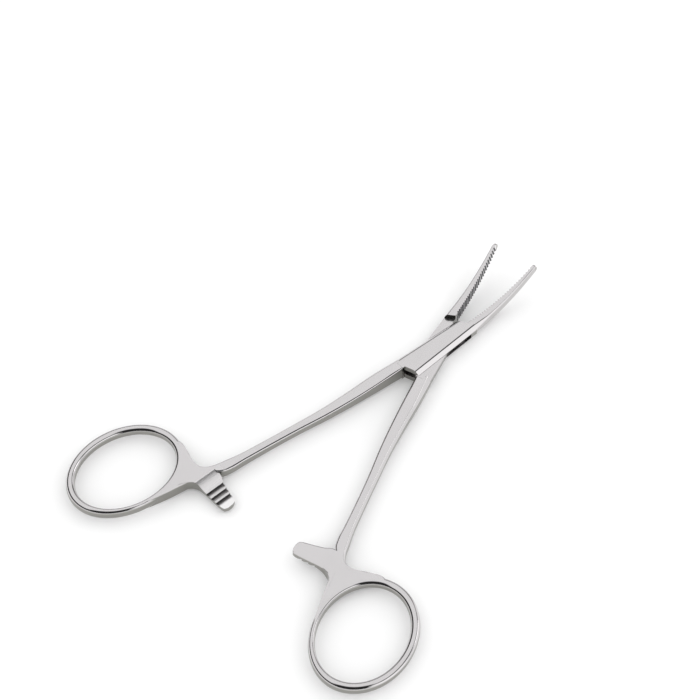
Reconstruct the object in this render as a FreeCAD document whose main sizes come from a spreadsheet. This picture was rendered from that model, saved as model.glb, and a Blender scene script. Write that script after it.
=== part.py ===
# Curved hemostat forceps with a box lock, in millimetres.
# Three real pieces: the box half, the cross half that passes through its slot, and the pin they turn on.
# +X runs along the closed forceps towards the jaw tips, +Y to the left and +Z up, the way the jaws curve.
# The origin is on the pin's axis, at the underside of the lock.
# The pose is the open one: each half is turned by half of the rest opening.
import FreeCAD, Part
import math
import os
import Sketcher

from FreeCAD import Vector

doc = FreeCAD.newDocument("hemostat_forceps")

# Driving sizes: alias, value, meaning.
# Places along a half are measured from the pin, the way that its name says: back to the ring, out to the tip.
SIZES = [
    ("rest_opening", 19.4, "angle between the two halves as they lie open, degrees"),
    # box lock
    ("lock_thick", 4.1, "height of the lock, from its underside to its top"),
    ("lock_half_back", 3.6, "half the lock's width at its back end"),
    ("lock_half_front", 2.6, "half the lock's width at its front end"),
    ("lock_bevel", 1.1, "width of the bevel along each side of the lock"),
    ("slot_height", 1.5, "height of the slot in the box half"),
    ("slide_gap", 0.05, "play between the tongue and each wall of the slot"),
    ("tongue_reach", 8.6, "radius that the free corners of the tongue keep to"),
    ("tongue_inset", 0.12, "how far the sides of the tongue lie inside the lock's sides"),
    ("slot_end_gap", 0.4, "gap between the tongue's corners and the ends of the slot"),
    ("lock_tail", 2.0, "length of the lock behind the slot's back end"),
    ("lock_nose", 1.9, "length of the lock ahead of the slot's front end"),
    ("plate_tail", 1.3, "how far the box plates run past the slot's back end at the middle line"),
    ("plate_tail_side", 0.1, "the same at their side"),
    ("plate_nose", 0.6, "how far the plates run past the slot's front end near the middle line"),
    ("plate_nose_cut", 0.4, "how far their front corner stops short of it"),
    ("plate_step", 1.2, "how far the plates' slanted front end runs over the jaw"),
    ("shoulder_gap", 0.15, "gap between the plates' back corner and the cross half's shoulder"),
    ("shoulder_slack", 0.6, "the same gap at the middle line, and at the front"),
    # pin
    ("pin_radius", 1.3, "radius of the pivot pin"),
    ("pin_play", 0.03, "radial running clearance in the cross half"),
    # jaws
    ("jaw_gap", 0.03, "half the space between the closed jaws"),
    ("jaw_reach", 33.0, "from the pin to the tip of the jaw"),
    ("jaw_tip_round", 0.8, "length of the rounded tip"),
    ("jaw_rise", 5.2, "how far the curve lifts the tip"),
    ("jaw_rise_start", 13.8, "where the jaw starts to curve up"),
    ("jaw_root_width", 2.62, "width of the jaw at its root"),
    ("jaw_root_thick", 3.6, "thickness of the jaw at its root"),
    ("jaw_back_x", 15.0, "second section of the jaw"),
    ("jaw_back_width", 2.16, "its width"),
    ("jaw_back_thick", 3.45, "its thickness"),
    ("jaw_middle_x", 21.5, "third section of the jaw"),
    ("jaw_middle_width", 1.64, "its width"),
    ("jaw_middle_thick", 3.22, "its thickness"),
    ("jaw_front_x", 27.5, "fourth section of the jaw"),
    ("jaw_front_width", 1.2, "its width"),
    ("jaw_front_thick", 3.0, "its thickness"),
    ("jaw_tip_width", 0.86, "width where the rounded tip starts"),
    ("jaw_tip_thick", 2.85, "thickness where the rounded tip starts"),
    ("jaw_end_share", 0.6, "share of that width and thickness that is left at the very tip"),
    ("jaw_flat_share", 0.5, "share of the jaw's width that is flat on top"),
    ("jaw_edge_share", 0.12, "share of the jaw's thickness that is upright on its outer side"),
    ("groove_start", 0.7, "first cross groove, ahead of the lock"),
    ("groove_pitch", 0.8, "distance from groove to groove"),
    ("groove_depth", 0.25, "depth of a cross groove"),
    ("groove_half", 0.32, "half the width of a cross groove"),
    # shank
    ("lever_gap", 0.05, "half the space between the closed halves behind the lock"),
    ("shank_bevel", 0.7, "bevel along the shank's edges"),
    ("inner_bevel", 0.3, "bevel of the shank's inner edges where they leave the lock"),
    ("shank_a_x", 17.0, "first section of the shank behind the lock"),
    ("shank_a_inner", 0.45, "its inner side, from the middle line"),
    ("shank_a_width", 3.6, "its width"),
    ("shank_a_thick", 3.5, "its thickness"),
    ("shank_b_x", 24.0, "second section of the shank"),
    ("shank_b_inner", 1.0, "its inner side"),
    ("shank_b_width", 3.3, "its width"),
    ("shank_b_thick", 2.95, "its thickness"),
    ("shank_c_x", 32.0, "third section of the shank"),
    ("shank_c_inner", 1.9, "its inner side"),
    ("shank_c_width", 2.9, "its width"),
    ("shank_c_thick", 2.6, "its thickness"),
    ("shank_d_x", 41.0, "fourth section of the shank"),
    ("shank_d_inner", 3.3, "its inner side"),
    ("shank_d_width", 2.45, "its width"),
    ("shank_d_thick", 2.4, "its thickness"),
    ("shank_e_x", 50.0, "fifth section of the shank"),
    ("shank_e_inner", 4.45, "its inner side"),
    ("shank_e_width", 2.4, "its width"),
    ("shank_e_thick", 2.5, "its thickness"),
    ("shank_f_x", 58.5, "last section of the shank, where it enters the neck"),
    ("shank_f_inner", 5.3, "its inner side"),
    ("shank_f_width", 3.1, "its width"),
    ("shank_f_thick", 2.75, "its thickness"),
    # ring and neck
    ("ring_x", 76.6, "centre of the ring, back from the pin"),
    ("ring_y", 21.4, "centre of the ring, out from the middle line"),
    ("ring_long", 13.15, "half length of the oval that the middle of the band follows"),
    ("ring_short", 10.4, "half width of that oval"),
    ("ring_tilt", 2.5, "turn of the oval, degrees"),
    ("ring_band", 2.05, "width of the band"),
    ("ring_thick", 2.85, "thickness of the band"),
    ("ring_round", 0.9, "rounding of the band's edges"),
    ("neck_thick", 2.8, "thickness of the neck between shank and ring"),
    ("neck_lap", 1.0, "how far the neck laps over the shank's end"),
    ("neck_x", 63.9, "the neck's front side, back from the pin"),
    ("neck_fall", 1.5, "how far the neck's corner lies out from the shank's outer side"),
    ("neck_corner", 1.6, "rounding of that corner"),
    ("neck_drop", 2.8, "straight part of the neck's front side below the corner"),
    ("web_front", 0.8, "how far the web stands out from the ring ahead of it"),
    ("web_back", 1.2, "how far the web stands out from the ring behind the arm"),
    # ratchet arm
    ("arm_heel", 67.9, "back end of the arm's seat in the neck"),
    ("arm_back", 67.0, "back edge of the ratchet arm"),
    ("arm_tip_back", 66.6, "back edge of the arm at its tip"),
    ("arm_front", 63.1, "front edge of the arm at its tip"),
    ("arm_root_front", 61.4, "front edge of the arm at its root"),
    ("arm_root", 7.5, "where the arm leaves the neck, out from the middle line"),
    ("arm_past", 1.6, "how far the arm's tip passes the middle line"),
    ("arm_corner", 0.9, "rounding of the corners of the arm's tip"),
    ("arm_flare", 0.8, "slanted corner between the arm and the shank"),
    ("arm_lap", 0.8, "how far the arm laps into the neck"),
    ("arm_gap", 0.16, "space between the two arms as they pass"),
    ("ramp_end", 4.6, "where the ramp from the neck meets the toothed face, out from the middle line"),
    ("tooth_first", 4.3, "root of the outermost ratchet tooth, out from the middle line"),
    ("tooth_pitch", 1.65, "distance from tooth to tooth"),
    ("tooth_depth", 0.5, "depth of a tooth"),
    ("tooth_width", 1.07, "width of the slope of a tooth"),
]

# Places that follow from the sizes above, worked out in the sheet
FOLLOWING = [
    ("slot_end", "=tongue_reach + slot_end_gap", "both ends of the slot"),
    ("lock_back", "=slot_end + lock_tail", "where the lock ends towards the rings"),
    ("lock_front", "=slot_end + lock_nose", "where the lock ends towards the tips"),
    ("plate_back_mid", "=slot_end + plate_tail", "back end of the plates at the middle line"),
    ("plate_back_side", "=slot_end + plate_tail_side", "back end of the plates at their side"),
    ("plate_front_mid", "=slot_end + plate_nose", "front end of the plates near the middle line"),
    ("plate_front_side", "=slot_end - plate_nose_cut", "front end of the plates at their side"),
    ("jaw_root", "=slot_end", "where the jaw starts"),
    ("groove_first", "=lock_front + groove_start", "place of the first cross groove"),
    ("shank_outer", "=shank_f_inner + shank_f_width", "outer side of the shank where it enters the neck"),
]

sheet = doc.addObject("Spreadsheet::Sheet", "sizes")
for row, (alias, number, meaning) in enumerate(SIZES + FOLLOWING, start=1):
    sheet.set(f"A{row}", alias)
    sheet.set(f"B{row}", str(number))
    sheet.set(f"C{row}", meaning)
    sheet.setAlias(f"B{row}", alias)
doc.recompute()

TEETH = 3        # on each ratchet arm
OUTSIDE = 2.0    # how far a cut's outline runs past the metal


def value(expression):
    """The number that an expression on the sheet stands for."""
    return float(sheet.evalExpression(expression))


# Sketches

def new_sketch(body, name, plane, shift=None):
    """An empty sketch on one of the body's own planes, moved along the plane's normal by shift."""
    sketch = body.newObject("Sketcher::SketchObject", name)
    support = [feature for feature in body.Origin.OriginFeatures if feature.Role == plane][0]
    sketch.AttachmentSupport = [(support, "")]
    sketch.MapMode = "FlatFace"
    if shift:
        sketch.setExpression("AttachmentOffset.Base.z", shift)
    return sketch


def place(sketch, edge, end, x, y):
    """Ties one point of a sketch to a pair of expressions; either may be None."""
    for kind, expression in (("DistanceX", x), ("DistanceY", y)):
        if expression is not None:
            tie = sketch.addConstraint(Sketcher.Constraint(kind, -1, 1, edge, end, value(expression)))
            sketch.setExpression(f"Constraints[{tie}]", expression)


def outline(body, name, plane, corners, shift=None):
    """A closed outline of straight lines through corners, each a pair of expressions."""
    sketch = new_sketch(body, name, plane, shift)
    spots = [Vector(value(x), value(y), 0) for x, y in corners]
    count = len(spots)
    for i in range(count):
        sketch.addGeometry(Part.LineSegment(spots[i], spots[(i + 1) % count]), False)
    for i in range(count):
        sketch.addConstraint(Sketcher.Constraint("Coincident", i, 2, (i + 1) % count, 1))
        place(sketch, i, 1, *corners[i])
    return sketch


def across(side, corners):
    """Corners in plan, with y turned to the half's own side."""
    return [(x, f"{side} * ({y})") for x, y in corners]


# Features

def pad(body, name, sketch, length):
    """Raises the sketch by half of the length on either side of its plane."""
    feature = body.newObject("PartDesign::Pad", name)
    feature.Profile = sketch
    feature.Midplane = True
    feature.setExpression("Length", length)
    return feature


def pocket(body, name, sketch, length=None, up=False):
    """A cut from the sketch, through everything both ways or over a length one way."""
    before = body.Shape.Volume
    feature = body.newObject("PartDesign::Pocket", name)
    feature.Profile = sketch
    if length is None:
        feature.Type = "ThroughAll"
        feature.Midplane = True
    else:
        feature.Reversed = up
        feature.setExpression("Length", length)
    doc.recompute()
    if not body.Shape.Volume < before:
        raise RuntimeError(f"{body.Label}: {name} cuts nothing")
    return feature


def round_corners(body, name, spots, radius):
    """Rounds the upright edges of the last feature that stand nearest to the given spots in plan."""
    last = body.Tip
    doc.recompute()
    picked = []
    for x, y in spots:
        spot = Vector(value(x), value(y), 0)
        upright = []
        for number, edge in enumerate(last.Shape.Edges, start=1):
            box = edge.BoundBox
            if box.XLength < 1e-6 and box.YLength < 1e-6:
                upright.append((math.hypot(box.XMin - spot.x, box.YMin - spot.y), number))
        picked.append(f"Edge{min(upright)[1]}")
    rounding = body.newObject("PartDesign::Fillet", name)
    rounding.Base = (last, picked)
    rounding.setExpression("Radius", radius)
    doc.recompute()


def loft(body, name, sections, ruled=False):
    feature = body.newObject("PartDesign::AdditiveLoft", name)
    feature.Profile = sections[0]
    feature.Sections = sections[1:]
    feature.Ruled = ruled
    return feature


# Finger ring, neck and ratchet arm

def finger_ring(body, side):
    """A band round an oval, with rounded edges."""
    sketch = new_sketch(body, "ring_plan", "XY_Plane")
    tilt = math.radians(value(f"{side} * sizes.ring_tilt"))
    along = Vector(math.cos(tilt), math.sin(tilt), 0)
    aside = Vector(-math.sin(tilt), math.cos(tilt), 0)
    centre_x, centre_y = "-sizes.ring_x", f"{-side} * sizes.ring_y"
    centre = Vector(value(centre_x), value(centre_y), 0)
    for sign in "+-":
        long_axis = f"2 * sizes.ring_long {sign} sizes.ring_band"
        short_axis = f"2 * sizes.ring_short {sign} sizes.ring_band"
        long_end = centre + along * (value(long_axis) / 2)
        short_end = centre + aside * (value(short_axis) / 2)
        oval = Part.Ellipse(long_end, short_end, centre)
        edge = sketch.addGeometry(oval, False)
        sketch.exposeInternalGeometry(edge)
        place(sketch, edge, 3, centre_x, centre_y)
        for line, length in ((edge + 1, long_axis), (edge + 2, short_axis)):
            tie = sketch.addConstraint(Sketcher.Constraint("Distance", line, value(length)))
            sketch.setExpression(f"Constraints[{tie}]", length)
        axis = sketch.Geometry[edge + 1]
        heading = math.degrees(math.atan2(*reversed((axis.EndPoint - axis.StartPoint)[:2])))
        half_turns = round((heading - math.degrees(tilt)) / 180)
        tie = sketch.addConstraint(Sketcher.Constraint("Angle", edge + 1, math.radians(heading)))
        turn = f"({180 * half_turns} + {side} * sizes.ring_tilt) * 1 deg"
        sketch.setExpression(f"Constraints[{tie}]", turn)
    band = pad(body, "ring_band", sketch, "sizes.ring_thick")
    doc.recompute()
    rims = [f"Edge{i}" for i, edge in enumerate(band.Shape.Edges, start=1) if edge.BoundBox.ZLength < 1e-6]
    rounding = body.newObject("PartDesign::Fillet", "ring_rounding")
    rounding.Base = (band, rims)
    rounding.setExpression("Radius", "min(sizes.ring_round; 0.45 * sizes.ring_band; 0.45 * sizes.ring_thick)")
    doc.recompute()


def on_ring(angle, out="0"):
    """A point at that angle on the ring's oval, out of the middle of its band, as two expressions."""
    along = f"(sizes.ring_long + {out}) * cos({angle})"
    aside = f"(sizes.ring_short + {out}) * sin({angle})"
    return (f"-sizes.ring_x + {along} * cos(sizes.ring_tilt) - {aside} * sin(sizes.ring_tilt)",
            f"-sizes.ring_y + {along} * sin(sizes.ring_tilt) + {aside} * cos(sizes.ring_tilt)")


def neck(body, side):
    """The web that carries the shank's end down to the ring, with the seat of the ratchet arm."""
    corners = across(side, [
        ("-sizes.shank_f_x + sizes.neck_lap", "-sizes.shank_f_inner"),
        ("-sizes.arm_root_front", "-sizes.shank_f_inner"),
        ("-sizes.arm_root_front", "-sizes.arm_root"),
        ("-sizes.arm_heel", "-sizes.arm_root"),
        on_ring(68, "sizes.ring_band / 2 + sizes.web_back"),
        on_ring(118),
        on_ring(94),
        on_ring(70),
        on_ring(45),
        on_ring(22),
        on_ring(8),
        on_ring(6, "0.4 * sizes.ring_band"),
        on_ring(22, "sizes.ring_band / 2 + sizes.web_front"),
        ("-sizes.neck_x", "-sizes.shank_outer - sizes.neck_fall - sizes.neck_drop"),
        ("-sizes.neck_x", "-sizes.shank_outer - sizes.neck_fall"),
        ("-sizes.shank_f_x + sizes.neck_lap", "-sizes.shank_outer"),
    ])
    sketch = outline(body, "neck_plan", "XY_Plane", corners)
    pad(body, "neck", sketch, "sizes.neck_thick")
    round_corners(body, "neck_rounding", corners[-2:-1], "sizes.neck_corner")


def ratchet_arm(body, side, low):
    """Half as thick as the neck beyond a ramp, so that the two arms pass; teeth face the other arm."""
    corners = across(side, [
        ("-sizes.arm_root_front", "-sizes.arm_root - sizes.arm_lap"),
        ("-sizes.arm_root_front", "-sizes.shank_f_inner"),
        ("-sizes.arm_root_front - sizes.arm_flare", "-sizes.shank_f_inner + sizes.arm_flare"),
        ("-sizes.arm_front", "0"),
        ("-sizes.arm_front", "sizes.arm_past"),
        ("-sizes.arm_tip_back", "sizes.arm_past"),
        ("-sizes.arm_back", "-sizes.shank_f_inner / 2"),
        ("-sizes.arm_back", "-sizes.shank_f_inner"),
        ("-sizes.arm_heel", "-sizes.arm_root"),
        ("-sizes.arm_heel", "-sizes.arm_root - sizes.arm_lap"),
    ])
    sign = -1 if low else 1
    face = f"{sign} * sizes.arm_gap / 2"
    past = f"{sign} * (sizes.arm_gap / 2 - sizes.tooth_depth)"
    far = f"{-sign} * sizes.neck_thick / 2"
    sketch = outline(body, "arm_plan", "XY_Plane", corners)
    pad(body, "arm", sketch, "sizes.neck_thick")
    round_corners(body, "arm_rounding", corners[4:6], "sizes.arm_corner")
    tip = f"{side} * (sizes.arm_past + {OUTSIDE})"
    relief = [
        (f"{-side} * sizes.arm_root", far),
        (f"{-side} * sizes.ramp_end", face),
        (tip, face),
        (tip, f"{far} - {sign} * {OUTSIDE}"),
        (f"{-side} * sizes.arm_root", f"{far} - {sign} * {OUTSIDE}"),
    ]
    sketch = outline(body, "arm_relief_section", "YZ_Plane", relief, "-sizes.arm_root_front")
    pocket(body, "arm_relief", sketch, "sizes.arm_heel - sizes.arm_root_front")
    for number in range(TEETH):
        root = f"-sizes.tooth_first + {number} * sizes.tooth_pitch"
        tooth = [
            (f"{side} * ({root})", past),
            (f"{side} * ({root})", f"{face} + {sign} * sizes.tooth_depth"),
            (f"{side} * ({root} + sizes.tooth_width)", face),
            (f"{side} * ({root} + sizes.tooth_width)", past),
        ]
        sketch = outline(body, f"tooth_{number + 1}_section", "YZ_Plane", tooth, "-sizes.arm_root_front")
        pocket(body, f"tooth_{number + 1}", sketch, "sizes.arm_heel - sizes.arm_root_front")


# Shank

def shank_section(body, side, name, x, inner, outer, thick, bevel_in, bevel_out, bevel_high):
    """An eight-sided section across the shank: two flats, two sides and four bevels."""
    top = f"({thick}) / 2"
    corners = []
    for sign in (1, -1):
        corners.append([(f"-({inner})", f"{sign} * ({top} - {bevel_in})"),
                        (f"-({inner}) - {bevel_in}", f"{sign} * {top}"),
                        (f"-({outer}) + {bevel_out}", f"{sign} * {top}"),
                        (f"-({outer})", f"{sign} * ({top} - {bevel_high})")])
    upper, lower = corners
    loop = [(f"{side} * ({y})", z) for y, z in upper + lower[::-1]]
    return outline(body, name, "YZ_Plane", loop, f"-({x})")


def shank(body, side):
    """A smooth loft from the lock's end to the neck."""
    sections = [shank_section(body, side, "shank_at_lock", "sizes.lock_back", "sizes.lever_gap",
                              "sizes.lock_half_back", "sizes.lock_thick", "sizes.inner_bevel",
                              "sizes.lock_bevel", "(sizes.lock_thick - sizes.slot_height) / 2")]
    for letter in "abcdef":
        own = f"sizes.shank_{letter}"
        sections.append(shank_section(body, side, f"shank_section_{letter}", f"{own}_x", f"{own}_inner",
                                      f"{own}_inner + {own}_width", f"{own}_thick", "sizes.shank_bevel",
                                      "sizes.shank_bevel", "sizes.shank_bevel"))
    loft(body, "shank", sections)
    doc.recompute()


# Lock

def lock_section(body, name, x, half):
    """A section across the lock: flat on top and below, with wide bevels that end at the slot."""
    land = "sizes.slot_height / 2"
    top = "sizes.lock_thick / 2"
    right = [(f"-({half})", f"-{land}"), (f"-({half})", land), (f"-({half}) + sizes.lock_bevel", top)]
    left = [(f"{half} - sizes.lock_bevel", top), (half, land), (half, f"-{land}")]
    below = [(f"{half} - sizes.lock_bevel", f"-{top}"), (f"-({half}) + sizes.lock_bevel", f"-{top}")]
    return outline(body, name, "YZ_Plane", right + left + below, x)


def lock_block(body, front, inset):
    """The tapered block that the lock is cut from."""
    taper = "(sizes.lock_half_back - sizes.lock_half_front) / (sizes.lock_back + sizes.lock_front)"
    back = lock_section(body, "lock_back_section", "-sizes.lock_back", f"sizes.lock_half_back - {inset}")
    ahead = lock_section(body, "lock_front_section", front,
                         f"sizes.lock_half_back - {taper} * (sizes.lock_back + {front}) - {inset}")
    loft(body, "lock_block", [back, ahead], ruled=True)
    doc.recompute()


# Jaw

def jaw_centre(x):
    """Height of the jaw's middle above the lock's middle: straight at first, then a parabola."""
    run = "(sizes.jaw_reach - sizes.jaw_rise_start)"
    return f"sizes.jaw_rise * max(0; ({x} - sizes.jaw_rise_start) / {run}) ^ 2"


def jaw_section(body, side, name, x, width, thick):
    """A section across the jaw: the biting face is flat, the outer side is bevelled to an edge."""
    middle = jaw_centre(x)
    top = f"{middle} + ({thick}) / 2"
    bottom = f"{middle} - ({thick}) / 2"
    flat = f"({width}) * sizes.jaw_flat_share"
    edge = f"({thick}) * sizes.jaw_edge_share / 2"
    loop = [("sizes.jaw_gap", bottom), ("sizes.jaw_gap", top), (flat, top),
            (width, f"{middle} + {edge}"), (width, f"{middle} - {edge}"), (flat, bottom)]
    return outline(body, name, "YZ_Plane", [(f"{side} * ({y})", z) for y, z in loop], x)


def jaw(body, side):
    """A smooth loft that thins and curves up to the tip, and a short rounded end."""
    sections = [jaw_section(body, side, "jaw_root_section", "sizes.jaw_root",
                            "sizes.jaw_root_width", "sizes.jaw_root_thick")]
    for place_name in ("back", "middle", "front"):
        own = f"sizes.jaw_{place_name}"
        sections.append(jaw_section(body, side, f"jaw_{place_name}_section", f"{own}_x",
                                    f"{own}_width", f"{own}_thick"))
    shoulder = "(sizes.jaw_reach - sizes.jaw_tip_round)"
    width, thick = "sizes.jaw_tip_width", "sizes.jaw_tip_thick"
    sections.append(jaw_section(body, side, "jaw_tip_section", shoulder, width, thick))
    loft(body, "jaw", sections)
    doc.recompute()
    start = jaw_section(body, side, "jaw_end_start", shoulder, width, thick)
    share = "sizes.jaw_end_share"
    end = jaw_section(body, side, "jaw_end", "sizes.jaw_reach", f"{share} * {width}", f"{share} * {thick}")
    loft(body, "jaw_end_taper", [start, end], ruled=True)
    doc.recompute()


def serrations(body, side):
    """Cross grooves in the biting face, from the root to the tip."""
    half = "2 * sizes.groove_half"
    loop = [(f"sizes.groove_first - {half}", "sizes.jaw_gap - sizes.groove_depth"),
            (f"sizes.groove_first + {half}", "sizes.jaw_gap - sizes.groove_depth"),
            ("sizes.groove_first", "sizes.jaw_gap + sizes.groove_depth")]
    sketch = outline(body, "groove_section", "XY_Plane", across(side, loop))
    groove = pocket(body, "groove", sketch)
    row = body.newObject("PartDesign::LinearPattern", "grooves")
    row.Originals = [groove]
    row.Direction = (sketch, ["H_Axis"])
    span = "sizes.jaw_reach - sizes.jaw_tip_round - sizes.groove_first"
    row.setExpression("Occurrences", f"floor(({span}) / sizes.groove_pitch) + 1")
    row.setExpression("Length", f"floor(({span}) / sizes.groove_pitch) * sizes.groove_pitch")
    body.Tip = row
    doc.recompute()


def turned(body, side):
    """Lifts a half to its height and turns it open."""
    pose = (f"placement(vector(0; 0; sizes.lock_thick / 2); "
            f"rotation(vector(0; 0; 1); {side} * sizes.rest_opening / 2))")
    body.setExpression("Placement", pose)


def pin_hole(body, radius):
    sketch = new_sketch(body, "pin_hole_plan", "XY_Plane")
    circle = sketch.addGeometry(Part.Circle(Vector(0, 0, 0), Vector(0, 0, 1), value(radius)), False)
    sketch.addConstraint(Sketcher.Constraint("Coincident", circle, 3, -1, 1))
    tie = sketch.addConstraint(Sketcher.Constraint("Radius", circle, value(radius)))
    sketch.setExpression(f"Constraints[{tie}]", radius)
    pocket(body, "pin_hole", sketch)


def new_body(label):
    body = doc.addObject("PartDesign::Body", label + "_body")
    body.Label = label
    return body


# Box half: its shank lies on the left and its jaw on the right, so its side is -1.
# In a half's own terms the shank is at negative y and the jaw at positive y.
def box_half():
    body, side = new_body("box_half"), -1
    finger_ring(body, side)
    neck(body, side)
    ratchet_arm(body, side, low=True)
    shank(body, side)
    lock_block(body, "sizes.lock_front", "0")

    outer = f"sizes.lock_half_back + {OUTSIDE}"
    behind = f"-sizes.lock_back - {OUTSIDE}"
    slope = "(sizes.plate_back_mid - sizes.plate_back_side) / sizes.lock_half_back"
    loop = [(behind, "-sizes.lever_gap"), ("-sizes.plate_back_mid", "-sizes.lever_gap"),
            (f"-sizes.plate_back_side + {slope} * {OUTSIDE}", outer), (behind, outer)]
    sketch = outline(body, "plate_back_cut_plan", "XY_Plane", across(side, loop))
    pocket(body, "plate_back_cut", sketch)

    ahead = f"sizes.lock_front + {OUTSIDE}"
    slope = "(sizes.plate_front_mid - sizes.plate_front_side) / sizes.lock_half_front"
    loop = [(f"sizes.plate_front_side - {slope} * {OUTSIDE}", f"-sizes.lock_half_front - {OUTSIDE}"),
            ("sizes.plate_front_mid", "0"), ("sizes.lock_front", "sizes.plate_step"),
            (ahead, "sizes.plate_step"), (ahead, f"-sizes.lock_half_front - {OUTSIDE}")]
    sketch = outline(body, "plate_front_cut_plan", "XY_Plane", across(side, loop))
    pocket(body, "plate_front_cut", sketch)

    jaw(body, side)
    serrations(body, side)

    end = "sizes.slot_end"
    loop = [(f"-{end}", f"-({outer})"), (f"-{end}", "-sizes.lever_gap"), (behind, "-sizes.lever_gap"),
            (behind, outer), (end, outer), (end, "sizes.jaw_gap"), (ahead, "sizes.jaw_gap"),
            (ahead, f"-({outer})")]
    sketch = outline(body, "slot_plan", "XY_Plane", across(side, loop), "-sizes.slot_height / 2")
    pocket(body, "slot", sketch, "sizes.slot_height", up=True)
    pin_hole(body, "sizes.pin_radius")
    turned(body, side)
    return body


def tongue_corner(body, side, name, end, edge_gap):
    """Cuts the tongue's free corner to an arc round the pin, so that it can swing inside the slot.

    end is 1 at the front, where the corner is on the far side from the jaw, and -1 at the back.
    """
    far = f"({-end * side} * (sizes.lock_half_back + {OUTSIDE}))"
    near = f"({end * side} * {edge_gap})"
    beyond = f"{end} * (sizes.lock_front + {OUTSIDE})"
    reach = value("sizes.tongue_reach")
    start = Vector(end * math.sqrt(reach ** 2 - value(near) ** 2), value(near), 0)
    stop = Vector(end * math.sqrt(reach ** 2 - value(far) ** 2), value(far), 0)
    sketch = new_sketch(body, name + "_plan", "XY_Plane")
    angles = sorted((math.atan2(spot.y, spot.x) % (2 * math.pi) for spot in (start, stop)))
    if angles[1] - angles[0] > math.pi:
        angles = [angles[1], angles[0] + 2 * math.pi]
    circle = Part.Circle(Vector(0, 0, 0), Vector(0, 0, 1), reach)
    arc = sketch.addGeometry(Part.ArcOfCircle(circle, *angles), False)
    arc_start = sketch.Geometry[arc].StartPoint.y
    near_end, far_end = (1, 2) if abs(arc_start - start.y) < abs(arc_start - stop.y) else (2, 1)
    outer_x = value(beyond)
    spots = [stop, Vector(outer_x, stop.y, 0), Vector(outer_x, start.y, 0), start]
    for first, second in zip(spots, spots[1:]):
        sketch.addGeometry(Part.LineSegment(first, second), False)
    sketch.addConstraint(Sketcher.Constraint("Coincident", arc, far_end, 1, 1))
    sketch.addConstraint(Sketcher.Constraint("Coincident", 1, 2, 2, 1))
    sketch.addConstraint(Sketcher.Constraint("Coincident", 2, 2, 3, 1))
    sketch.addConstraint(Sketcher.Constraint("Coincident", 3, 2, arc, near_end))
    sketch.addConstraint(Sketcher.Constraint("Coincident", arc, 3, -1, 1))
    tie = sketch.addConstraint(Sketcher.Constraint("Radius", arc, reach))
    sketch.setExpression(f"Constraints[{tie}]", "sizes.tongue_reach")
    place(sketch, 1, 1, None, far)
    place(sketch, 3, 2, None, near)
    place(sketch, 1, 2, beyond, far)
    place(sketch, 2, 2, beyond, near)
    pocket(body, name, sketch)


# Cross half: its shank lies on the right and its jaw on the left, so its side is 1.
def cross_half():
    body, side = new_body("cross_half"), 1
    finger_ring(body, side)
    neck(body, side)
    ratchet_arm(body, side, low=False)
    shank(body, side)
    lock_block(body, "sizes.jaw_root", "sizes.tongue_inset")
    jaw(body, side)
    serrations(body, side)

    back_side = "(sizes.plate_back_side + sizes.shoulder_gap)"
    back_mid = "(sizes.plate_back_mid + sizes.shoulder_slack)"
    back_slope = f"({back_mid} - {back_side}) / sizes.lock_half_back"
    front_side = "(sizes.plate_front_side + sizes.shoulder_slack)"
    front_mid = "(sizes.plate_front_mid + sizes.shoulder_slack)"
    front_slope = f"({front_mid} - {front_side}) / sizes.lock_half_front"
    outer_back = f"(sizes.lock_half_back + {OUTSIDE})"
    outer_front = f"(sizes.lock_half_front + {OUTSIDE})"
    loop = [(f"-{back_side} + {back_slope} * {OUTSIDE}", f"-{outer_back}"),
            (f"-{back_mid}", "0"), (f"-{back_mid}", outer_back),
            (f"{front_side} - {front_slope} * {OUTSIDE}", outer_front),
            (front_mid, "0"), (front_mid, f"-{outer_back}")]
    level = "(sizes.slot_height / 2 - sizes.slide_gap)"
    for name, shift, up in (("waist_above", level, True), ("waist_below", f"-{level}", False)):
        sketch = outline(body, name + "_plan", "XY_Plane", across(side, loop), shift)
        pocket(body, name, sketch, "sizes.lock_thick", up=up)
    tongue_corner(body, side, "tongue_front_corner", 1, "sizes.jaw_gap")
    tongue_corner(body, side, "tongue_back_corner", -1, "sizes.lever_gap")
    pin_hole(body, "sizes.pin_radius + sizes.pin_play")
    turned(body, side)
    return body


def pivot_pin():
    """A plain pin, as long as the lock is high, with both ends ground flush."""
    pin = doc.addObject("Part::Cylinder", "pin")
    pin.Label = "pivot_pin"
    pin.setExpression("Radius", "sizes.pin_radius")
    pin.setExpression("Height", "sizes.lock_thick")
    return pin


pieces = [box_half(), cross_half(), pivot_pin()]
doc.recompute()

for thing in doc.Objects:
    if "Invalid" in thing.State or "Error" in thing.State:
        raise RuntimeError(f"{thing.Name} is not well: {thing.State}")
for piece in pieces:
    if piece.Shape.isNull() or not piece.Shape.isValid() or len(piece.Shape.Solids) != 1:
        raise RuntimeError(f"{piece.Label} is not one valid solid")

os.makedirs("parts", exist_ok=True)
for piece in pieces:
    piece.Shape.exportStep(f"parts/{piece.Label}.step")
    box = piece.Shape.BoundBox
    print(f"{piece.Label}: {piece.Shape.Volume:.1f} mm3, x {box.XMin:.1f} to {box.XMax:.1f}, "
          f"y {box.YMin:.1f} to {box.YMax:.1f}, z {box.ZMin:.2f} to {box.ZMax:.2f}")
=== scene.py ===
# %% [markdown]
# A curved hemostat forceps of polished surgical steel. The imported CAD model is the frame: it says where
# the three real pieces are, how they turn, and how big they are. This lesson gives them their skins.
# Two forgings carry everything that shows: the box half, whose slotted box holds the lock together, and
# the cross half, which passes through the slot. The pin that they turn on is ground flush with the box.

# %% Load the frame
import math

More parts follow.
